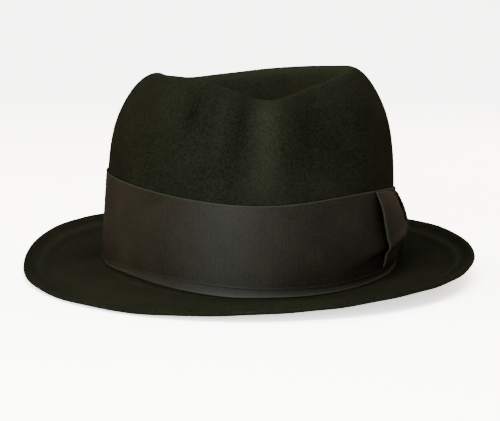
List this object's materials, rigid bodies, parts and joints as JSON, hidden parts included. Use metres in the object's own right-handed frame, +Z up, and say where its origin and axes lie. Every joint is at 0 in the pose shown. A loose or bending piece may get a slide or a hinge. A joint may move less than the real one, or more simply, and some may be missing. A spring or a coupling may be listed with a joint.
{
  "type": "fedora",
  "caption": "Soft felt fedora with a closed top dent, pinched front, turned-over brim lip, wide ribbed ribbon and flat side bow.",
  "frame": {"origin": "middle of the bottom of the hat's box, on the surface that it rests on", "axes": "+X to the wearer's left, where the bow is, -Y to the front of the hat, +Z up through the crown"},
  "size_m": [0.2594, 0.2976, 0.1181],
  "materials": {
    "felt": "soft matt fur felt with a short nap, black with a slight olive cast",
    "ribbon": "ribbed grosgrain ribbon, black-brown with a soft satin sheen"
  },
  "bodies": {
    "root": {"felt_body": "felt", "ribbon_band": "ribbon", "under_ribbon": "ribbon", "bow_front_wing": "ribbon", "bow_rear_wing": "ribbon", "bow_knot": "ribbon"}
  },
  "joints": []
}
